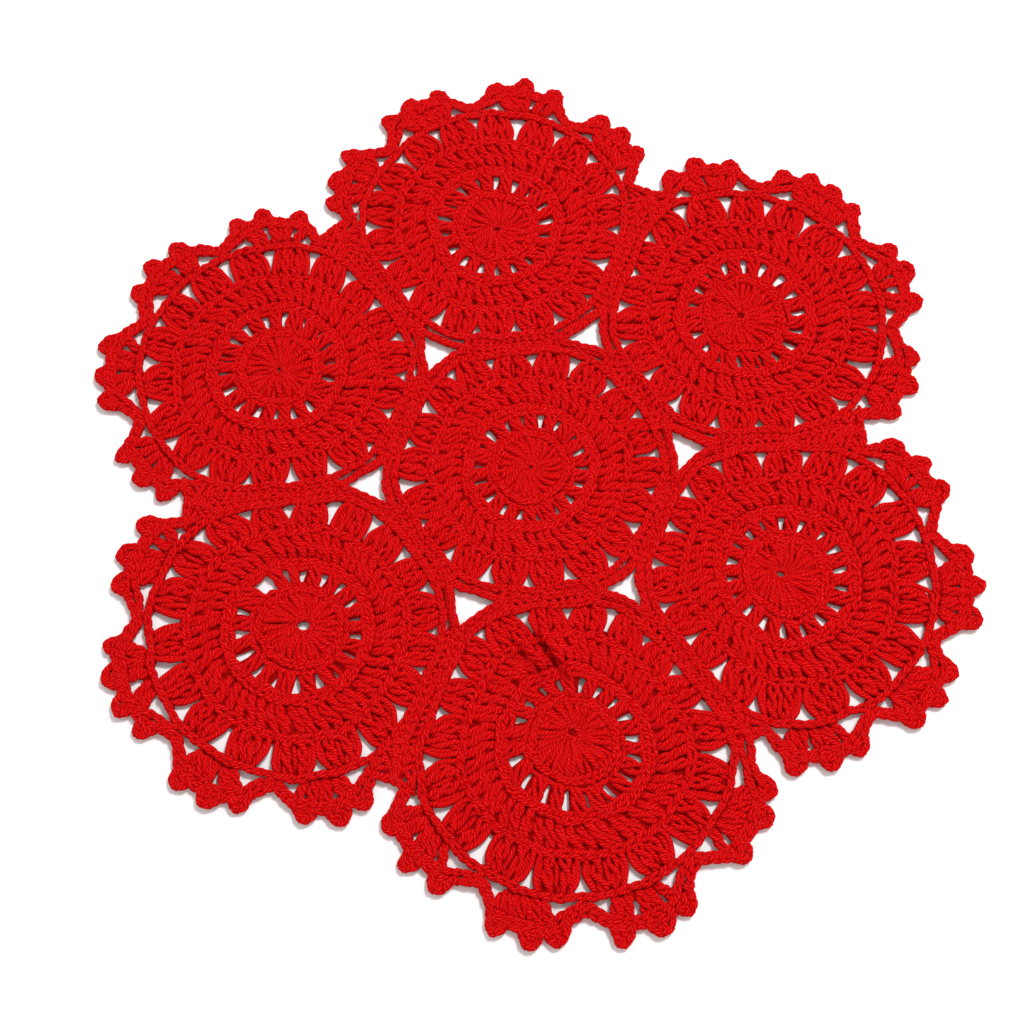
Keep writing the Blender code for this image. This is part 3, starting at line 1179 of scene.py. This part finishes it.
def yarn_material():
    """Plied red cotton: the plies wind round the yarn, with fine fibres on them, painted shade in
    the ply grooves, painted light on the ply tops and painted highlights on the fibres.
    """
    nodes = Nodes("cotton_yarn", YARN_SHADER)
    uv = nodes.tree.nodes.new("ShaderNodeUVMap")
    uv.uv_map = "yarn"
    parts = nodes.tree.nodes.new("ShaderNodeSeparateXYZ")
    nodes.put(parts.inputs[0], uv.outputs["UV"])
    along, around = parts.outputs["X"], parts.outputs["Y"]
    turns = nodes.math("ADD", nodes.math("MULTIPLY", around, float(PLIES)),
                       nodes.math("MULTIPLY", along, PLIES_PER_MM))
    turns = nodes.math("ADD", turns,
                       nodes.math("MULTIPLY", nodes.noise(*UNEVEN_NOISE), PLY_UNEVENNESS))
    wave = nodes.math("SINE", nodes.math("MULTIPLY", turns, math.pi))
    ply = nodes.math("POWER", nodes.math("ABSOLUTE", wave), PLY_SHARPNESS)
    strokes = nodes.tree.nodes.new("ShaderNodeCombineXYZ")
    nodes.put(strokes.inputs["X"], nodes.math("MULTIPLY", turns, FIBRES_PER_PLY))
    nodes.put(strokes.inputs["Y"], nodes.math("MULTIPLY", along, FIBRES_PER_MM))
    fibres = nodes.noise(*FIBRE_NOISE, strokes.outputs[0])
    shade = nodes.math("MULTIPLY", ply, nodes.math("ADD", fibres, FIBRE_BASE))
    patches = nodes.math("MULTIPLY", nodes.noise(*PATCH_NOISE), PATCH_STRENGTH)
    # painted shade in the ply grooves and painted light on the ply tops, shifted by random patches
    colour = nodes.mix(nodes.math("ADD", shade, patches), SHADED_PLY_RED, LIT_PLY_RED)
    # painted highlights: lighter streaks on the ply tops where the fibres catch the light
    highlight = nodes.math("MULTIPLY", nodes.math("POWER", ply, HIGHLIGHT_SHARPNESS),
                        nodes.math("MULTIPLY", fibres, HIGHLIGHT_STRENGTH))
    nodes.put(nodes.shader.inputs["Base Color"], nodes.mix(highlight, colour, FIBRE_HIGHLIGHT_RED))
    height = nodes.math("ADD", ply, nodes.math("MULTIPLY", fibres, FIBRE_RELIEF))
    nodes.bump(height, YARN_BUMP * MM)
    return nodes.material


def ground_material():
    """Painted shade for the fabric behind the strands: the same cotton, rough and crossed."""
    nodes = Nodes("cotton_ground", GROUND_SHADER)
    strands = nodes.noise(*GROUND_NOISE)
    # painted shade: the ground takes the dark colour of the fabric in shade between the strands
    nodes.put(nodes.shader.inputs["Base Color"], nodes.mix(strands, DEEP_GROUND_SHADE_RED, SHADE_RED))
    nodes.bump(strands, GROUND_BUMP * MM)
    return nodes.material


def make_doily():
    """The ground and the yarn of every motif."""
    motifs = make_motifs()
    notches = [notch_place(*pair) for pair in neighbours(motifs[1:])]
    yarn = yarn_material()
    ground = thickened(ground_mesh(motifs, notches), GROUND_THICKNESS * MM)
    ground_piece = add_piece("doily_ground", ground, ground_material())
    for number, motif in enumerate(motifs):
        # An outer motif lies between the notch before it and the one after it.
        ends = (notches[number - 2], notches[number - 1]) if motif.valleys else None
        mesh = tube_mesh(f"yarn_{motif.name}", motif_strands(motif, ends))
        add_piece(f"yarn_{motif.name}", mesh, yarn)
    mesh = tube_mesh("yarn_joins", join_strands(motifs, notches))
    add_piece("yarn_joins", mesh, yarn)
    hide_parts("doily")


# The photograph's camera. Its turns are round the target, from looking straight down: to the
# right, up from there, and a roll. Its focal length is in pixels of the photograph's own size.
CAMERA_TARGET = (-6.91, -12.07, 0.0)
CAMERA_DISTANCE = 470.0
CAMERA_TURNS = ((-11.13, "Z"), (90.0 - 69.0, "X"), (4.06, "Z"))
CAMERA_CLIP_START = 10.0
FOCAL_PIXELS = 1661.9
IMAGE_PIXELS = 1024.0
SENSOR = 36.0

# The plain pale table and the room's light, in metres.
FLOOR_REACH = 4.0
FLOOR_SHADER = {
    "Base Color": (0.86, 0.855, 0.86, 1.0),
    "Roughness": 0.9,
    "Specular IOR Level": 0.1,
}
KEY_LIGHT_DIRECTION = (0.36, 0.30, 1.0)
KEY_LIGHT_DISTANCE = 1.4
KEY_LIGHT_SIZE = 0.3
KEY_LIGHT_POWER = 15.0
ROOM_LIGHT = 0.80


def make_camera():
    """The camera at the photograph's place."""
    camera = new_object("camera", bpy.data.cameras.new("camera"))
    camera.data.sensor_width = SENSOR
    camera.data.lens = FOCAL_PIXELS / IMAGE_PIXELS * SENSOR
    camera.data.clip_start = CAMERA_CLIP_START * MM
    place = Matrix.Translation(Vector(CAMERA_TARGET) * MM)
    for degrees, axis in CAMERA_TURNS:
        place = place @ Matrix.Rotation(math.radians(degrees), 4, axis)
    camera.matrix_world = place @ Matrix.Translation((0.0, 0.0, CAMERA_DISTANCE * MM))
    bpy.context.scene.camera = camera


def make_floor():
    """The plain pale table."""
    mesh = bpy.data.meshes.new("floor")
    corners = [(x * FLOOR_REACH, y * FLOOR_REACH, 0.0)
               for x, y in ((-1, -1), (1, -1), (1, 1), (-1, 1))]
    mesh.from_pydata(corners, [], [(0, 1, 2, 3)])
    mesh.materials.append(Nodes("pale_table", FLOOR_SHADER).material)
    floor = new_object("floor", mesh)


def make_lights():
    """A soft square light from the upper right, facing the doily's middle, and a pale room."""
    light = bpy.data.lights.new("key_light", "AREA")
    light.shape = "SQUARE"
    light.size = KEY_LIGHT_SIZE
    light.energy = KEY_LIGHT_POWER
    lamp = new_object("key_light", light)
    towards = Vector(KEY_LIGHT_DIRECTION).normalized()
    lamp.location = towards * KEY_LIGHT_DISTANCE
    lamp.rotation_mode = "QUATERNION"
    lamp.rotation_quaternion = towards.to_track_quat("Z", "Y")
    world = bpy.data.worlds.new("room")
    world.use_nodes = True
    background = world.node_tree.nodes["Background"]
    background.inputs["Color"].default_value = (1.0, 1.0, 1.0, 1.0)
    background.inputs["Strength"].default_value = ROOM_LIGHT
    bpy.context.scene.world = world
    bpy.context.scene.view_settings.view_transform = "Standard"


make_camera()
make_floor()
make_lights()
make_doily()
